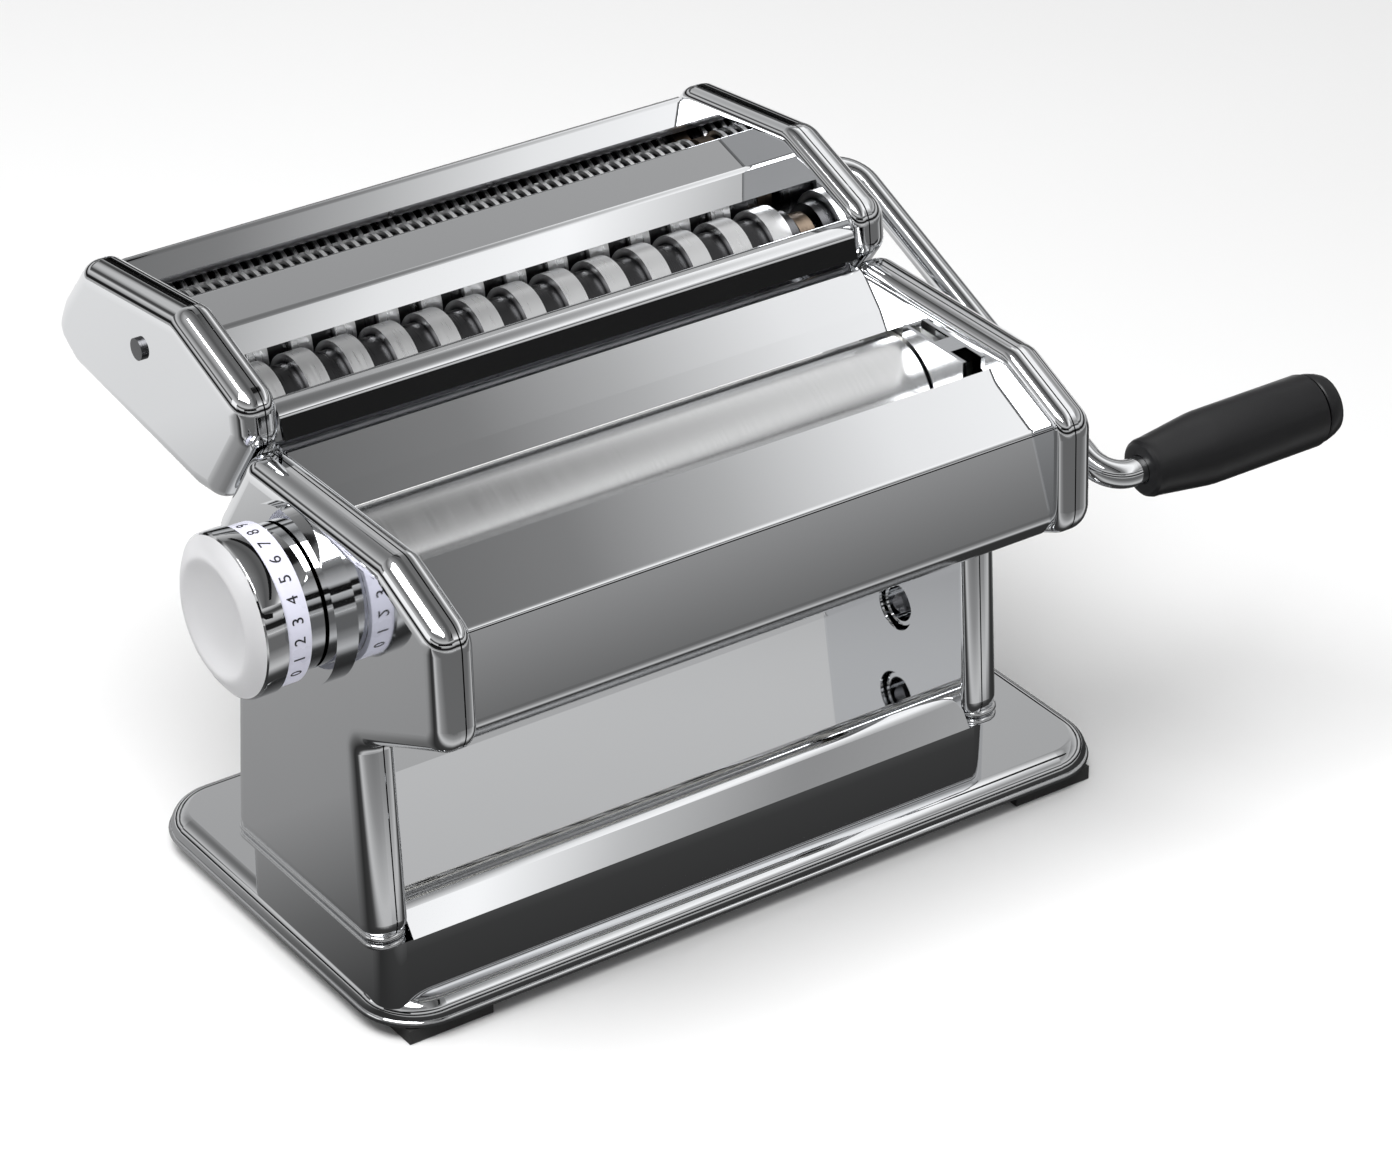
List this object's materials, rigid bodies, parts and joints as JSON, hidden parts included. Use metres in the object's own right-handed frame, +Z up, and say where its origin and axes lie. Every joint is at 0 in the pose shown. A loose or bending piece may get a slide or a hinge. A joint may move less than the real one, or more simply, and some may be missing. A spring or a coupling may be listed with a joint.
{
  "type": "pasta roller machine",
  "caption": "Hand-cranked pasta machine: smooth rollers with a thickness knob over a stepped base, and a clip-on cutter with wide and fine rollers.",
  "frame": {"origin": "the table surface, halfway between the two side frames and halfway between the base's front and back edges", "axes": "+X along the rollers towards the crank, +Y towards the cutter at the back, +Z up"},
  "size_m": [0.3328, 0.1939, 0.178],
  "materials": {
    "steel_mirror": "mirror-bright plated sheet steel",
    "chrome": "bright chrome plate",
    "roller_satin": "satin turned aluminium",
    "cutter_satin": "satin turned aluminium",
    "gear_steel": "plain zinc-plated steel",
    "bearing_bronze": "oiled bronze",
    "bearing_plastic": "off-white food-safe plastic",
    "number_white": "pale plastic with printed numbers",
    "grip_black": "satin black plastic",
    "foot_rubber": "black rubber"
  },
  "bodies": {
    "stand": {"base_tray": "steel_mirror", "rubber_feet": "foot_rubber", "left_frame": "steel_mirror", "right_frame": "steel_mirror", "left_cover": "steel_mirror", "right_cover": "steel_mirror", "tie_rods": "gear_steel", "tie_nuts": "gear_steel", "port_cups": "steel_mirror", "cover_screws": "gear_steel", "slide_tray": "steel_mirror", "front_cover": "steel_mirror", "hopper_plate": "steel_mirror", "left_guard": "steel_mirror", "right_guard": "steel_mirror", "front_scraper": "bearing_plastic", "roller_bushes": "bearing_bronze", "index_collar": "chrome"},
    "driven_roller": {"front_roller": "roller_satin", "front_gear": "gear_steel"},
    "carriage": {"left_bearing": "bearing_plastic", "right_bearing": "bearing_plastic", "rear_scraper": "bearing_plastic"},
    "adjusted_roller": {"rear_roller": "roller_satin", "rear_gear": "gear_steel"},
    "knob_shaft": {"eccentric_shaft": "gear_steel", "spring_washer": "gear_steel", "knob_spring": "gear_steel"},
    "knob": {"knob_body": "chrome", "index_pin": "gear_steel", "number_ring": "number_white", "knob_cap": "chrome"},
    "cutter": {"left_cutter_plate": "steel_mirror", "right_cutter_plate": "steel_mirror", "left_cutter_cap": "steel_mirror", "right_cutter_cap": "steel_mirror", "cap_screws": "gear_steel", "cutter_tie_rods": "gear_steel", "cutter_tie_nuts": "gear_steel", "rear_bar": "steel_mirror", "centre_bar": "steel_mirror", "front_bar": "steel_mirror", "cutter_bushes": "bearing_bronze", "wide_stripper": "bearing_plastic", "fine_stripper": "bearing_plastic"},
    "wide_drive": {"wide_drive_roller": "cutter_satin", "wide_drive_gear": "gear_steel"},
    "wide_follower": {"wide_roller": "cutter_satin", "wide_gear": "gear_steel"},
    "fine_drive": {"fine_drive_roller": "cutter_satin", "fine_drive_gear": "gear_steel"},
    "fine_follower": {"fine_roller": "cutter_satin", "fine_gear": "gear_steel"},
    "crank": {"crank_rod": "chrome", "grip_washer": "gear_steel"},
    "grip": {"crank_grip": "grip_black", "grip_cap": "grip_black"}
  },
  "joints": [
    {"name": "roller_drive", "type": "hinge", "parent": "stand", "child": "driven_roller", "pos_m": [0, -0.0637, 0.1243], "axis": [1, 0, 0], "continuous": true},
    {"name": "knob_turn", "type": "hinge", "parent": "stand", "child": "knob_shaft", "pos_m": [-0.11, -0.029, 0.1243], "axis": [1, 0, 0], "range_deg": [-67.5, 67.5]},
    {"name": "thickness_slide", "type": "slide", "parent": "stand", "child": "carriage", "axis": [0, 1, 0], "range_m": [-0.0021, 0.0021]},
    {"name": "roller_follow", "type": "hinge", "parent": "carriage", "child": "adjusted_roller", "pos_m": [0, -0.029, 0.1243], "axis": [1, 0, 0], "continuous": true},
    {"name": "knob_pull", "type": "slide", "parent": "knob_shaft", "child": "knob", "axis": [-1, 0, 0], "range_m": [0, 0.004], "stiffness_N_per_m": 600, "springref_m": -0.002, "deforming": ["knob_spring"]},
    {"name": "cutter_lift", "type": "slide", "parent": "stand", "child": "cutter", "axis": [0, 0, 1], "range_m": [0, 0.06]},
    {"name": "wide_spin", "type": "hinge", "parent": "cutter", "child": "wide_drive", "pos_m": [0, 0.047, 0.152], "axis": [1, 0, 0], "continuous": true},
    {"name": "wide_follow", "type": "hinge", "parent": "cutter", "child": "wide_follower", "pos_m": [0, 0.0245, 0.147], "axis": [1, 0, 0], "continuous": true},
    {"name": "fine_spin", "type": "hinge", "parent": "cutter", "child": "fine_drive", "pos_m": [0, 0.0845, 0.15], "axis": [1, 0, 0], "continuous": true},
    {"name": "fine_follow", "type": "hinge", "parent": "cutter", "child": "fine_follower", "pos_m": [0, 0.069, 0.153], "axis": [1, 0, 0], "continuous": true},
    {"name": "crank_pull", "type": "slide", "parent": "wide_drive", "child": "crank", "axis": [1, 0, 0], "range_m": [0, 0.03]},
    {"name": "grip_spin", "type": "hinge", "parent": "crank", "child": "grip", "pos_m": [0.15, -0.072, 0.103], "axis": [1, 0, 0], "continuous": true}
  ],
  "couplings": [
    {"joint": "thickness_slide", "follows": "knob_turn", "m_per_rad": -0.00178},
    {"joint": "roller_follow", "follows": "roller_drive", "ratio": -1},
    {"joint": "wide_follow", "follows": "wide_spin", "ratio": -1},
    {"joint": "fine_follow", "follows": "fine_spin", "ratio": -1}
  ]
}
